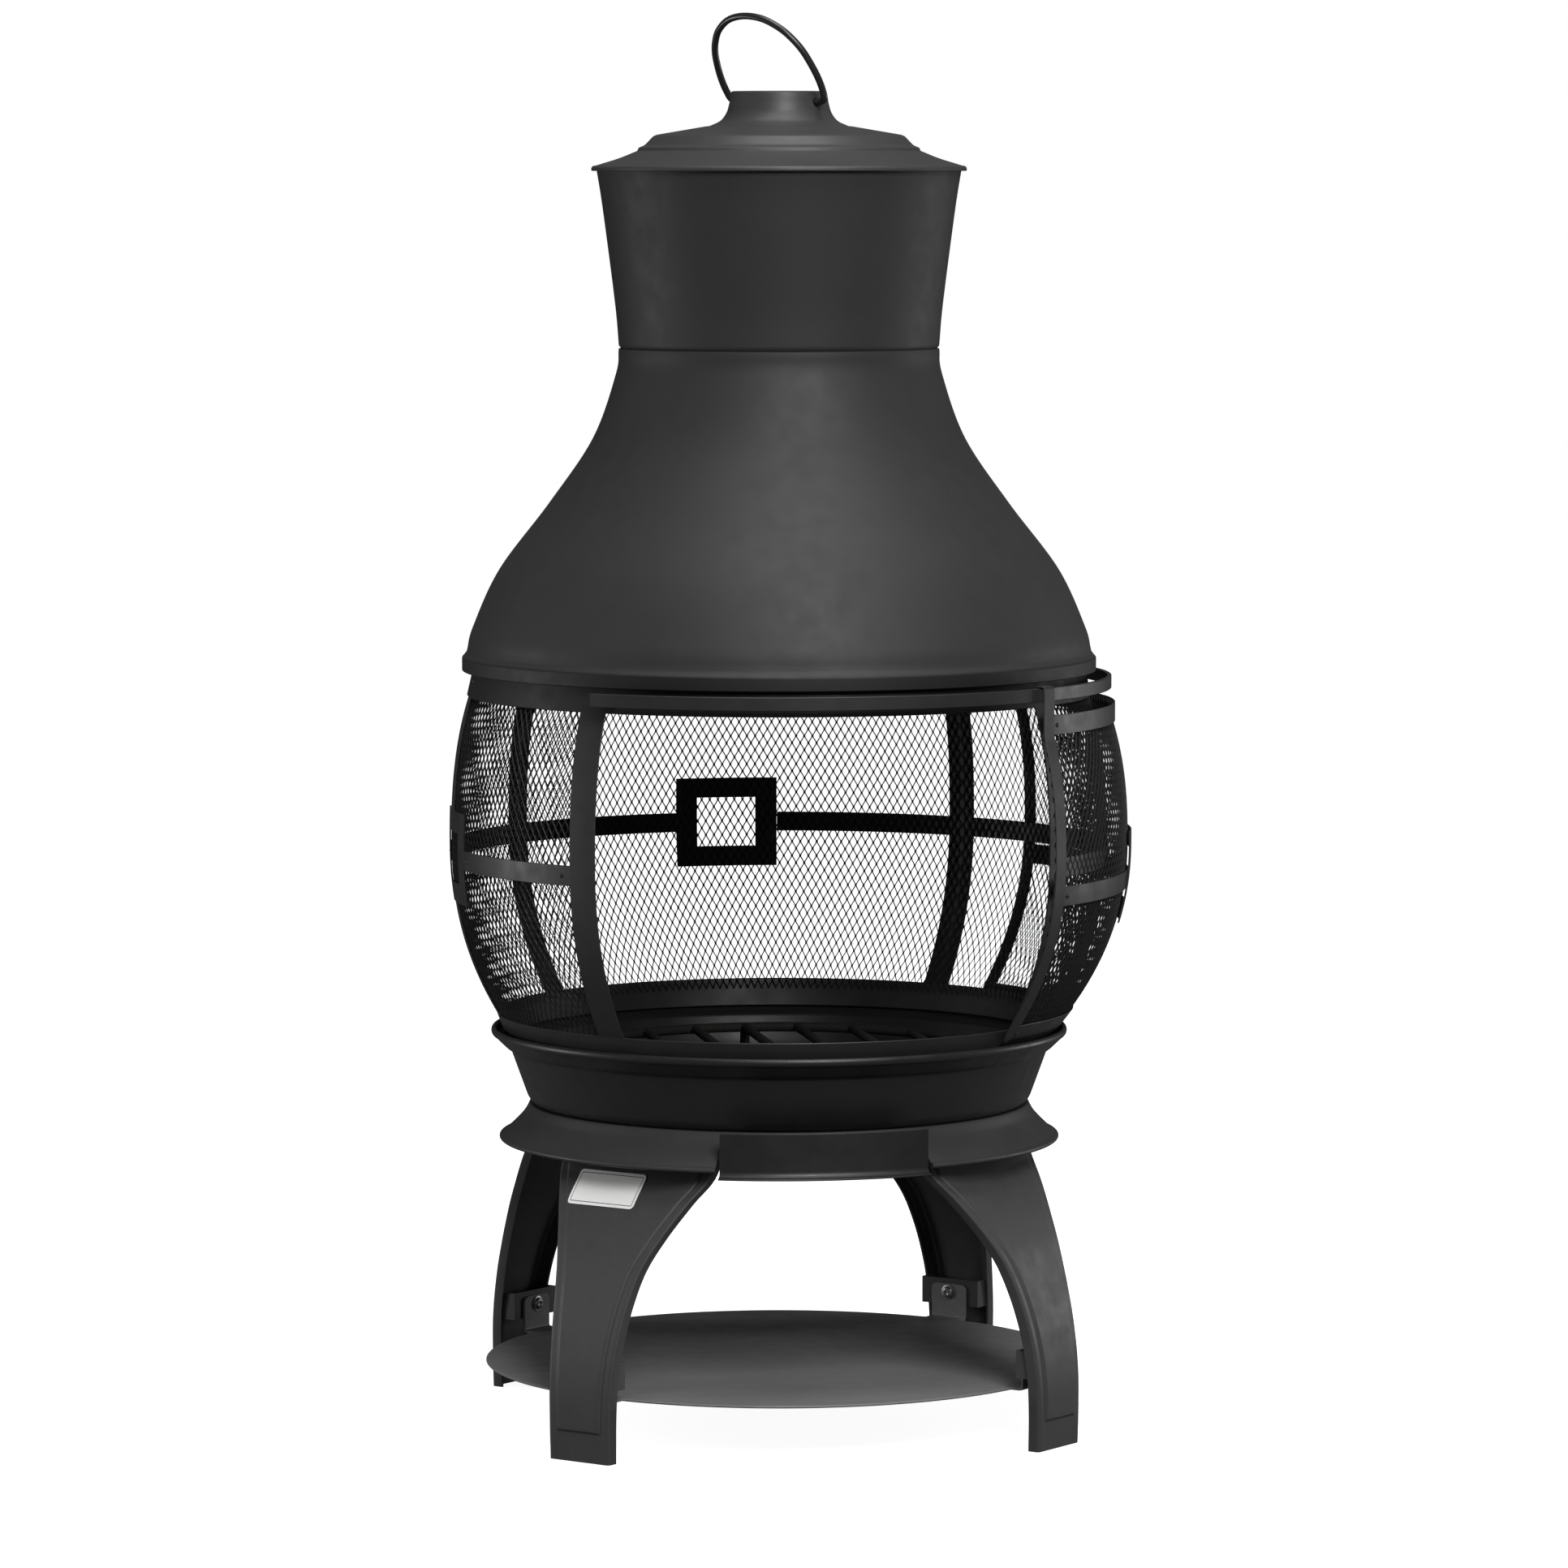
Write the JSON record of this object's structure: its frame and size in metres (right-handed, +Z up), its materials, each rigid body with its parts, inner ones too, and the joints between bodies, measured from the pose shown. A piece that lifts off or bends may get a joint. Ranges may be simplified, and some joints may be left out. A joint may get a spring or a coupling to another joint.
{
  "type": "chiminea",
  "caption": "Garden chiminea: barrel fire drum of expanded-metal screens with a sliding door, on a legged stand with a log shelf, under a hood, chimney and lift-off lid.",
  "frame": {"origin": "on the ground under the centre line of the drum and chimney", "axes": "+Z up along the centre line; the open front faces -Y; +X is on the right of someone who faces the front"},
  "size_m": [0.5489, 0.5327, 1.13],
  "materials": {
    "hood_paint": "satin black heat-resistant paint on spun sheet steel",
    "drum_paint": "satin black heat-resistant paint on strap steel",
    "screen_paint": "matt black paint on expanded steel mesh, slightly sooted",
    "bowl_paint": "matt black heat-resistant paint on pressed steel",
    "leg_paint": "satin dark grey paint on pressed steel, fine brushed texture",
    "zinc": "dull zinc-plated steel",
    "label_film": "blank off-white printed film with a thin border"
  },
  "bodies": {
    "stand": {"leg_front_left": "leg_paint", "shelf_strap_front_left": "leg_paint", "shelf_screw_front_left": "zinc", "bowl_bolt_front_left": "zinc", "leg_front_right": "leg_paint", "shelf_strap_front_right": "leg_paint", "shelf_screw_front_right": "zinc", "bowl_bolt_front_right": "zinc", "leg_rear_right": "leg_paint", "shelf_strap_rear_right": "leg_paint", "shelf_screw_rear_right": "zinc", "bowl_bolt_rear_right": "zinc", "leg_rear_left": "leg_paint", "shelf_strap_rear_left": "leg_paint", "shelf_screw_rear_left": "zinc", "bowl_bolt_rear_left": "zinc", "shelf": "leg_paint", "fire_bowl": "bowl_paint", "label_plate": "label_film", "stand_ring": "bowl_paint", "drawer_runner_right": "bowl_paint", "drawer_runner_left": "bowl_paint", "drum_top_ring": "drum_paint", "drum_bottom_ring": "drum_paint", "rib_front_left": "drum_paint", "rib_front_right": "drum_paint", "rib_rear_right": "drum_paint", "rib_rear_left": "drum_paint", "side_strip_left_lower": "drum_paint", "side_strip_left_upper": "drum_paint", "side_strip_right_lower": "drum_paint", "side_strip_right_upper": "drum_paint", "handle_plate_left": "drum_paint", "handle_plate_rear": "drum_paint", "band_left_front": "drum_paint", "band_left_rear": "drum_paint", "band_rear_left": "drum_paint", "band_rear_right": "drum_paint", "band_right": "drum_paint", "door_rail": "drum_paint", "rail_bracket_1": "drum_paint", "rail_bracket_2": "drum_paint", "rail_bracket_3": "drum_paint", "screen_left": "screen_paint", "screen_rear": "screen_paint", "screen_right": "screen_paint", "hood": "hood_paint", "chimney": "hood_paint"},
    "door": {"door_upright_front": "drum_paint", "door_upright_rear": "drum_paint", "door_band_top": "drum_paint", "door_band_middle": "drum_paint", "door_band_bottom": "drum_paint", "handle_plate_door": "drum_paint", "door_screen": "screen_paint"},
    "lid": {"lid": "hood_paint"},
    "lid_handle": {"lid_handle": "hood_paint"},
    "log_grate": {"log_grate": "bowl_paint"},
    "ash_drawer": {"ash_drawer_front": "bowl_paint", "ash_drawer_tray": "bowl_paint"}
  },
  "joints": [
    {"name": "door_slide", "type": "hinge", "parent": "stand", "child": "door", "pos_m": [0, 0, 0.45], "axis": [0, 0, 1], "range_deg": [-82, 10]},
    {"name": "lid_lift", "type": "slide", "parent": "stand", "child": "lid", "axis": [0, 0, 1], "range_m": [0, 0.15]},
    {"name": "lid_handle_swing", "type": "hinge", "parent": "lid", "child": "lid_handle", "pos_m": [0, 0, 1.06], "axis": [0.6157, -0.788, 0], "range_deg": [-131, 69]},
    {"name": "log_grate_lift", "type": "slide", "parent": "stand", "child": "log_grate", "axis": [0, 0, 1], "range_m": [0, 0.1]},
    {"name": "ash_drawer_slide", "type": "slide", "parent": "stand", "child": "ash_drawer", "axis": [0, -1, 0], "range_m": [0, 0.16]}
  ]
}
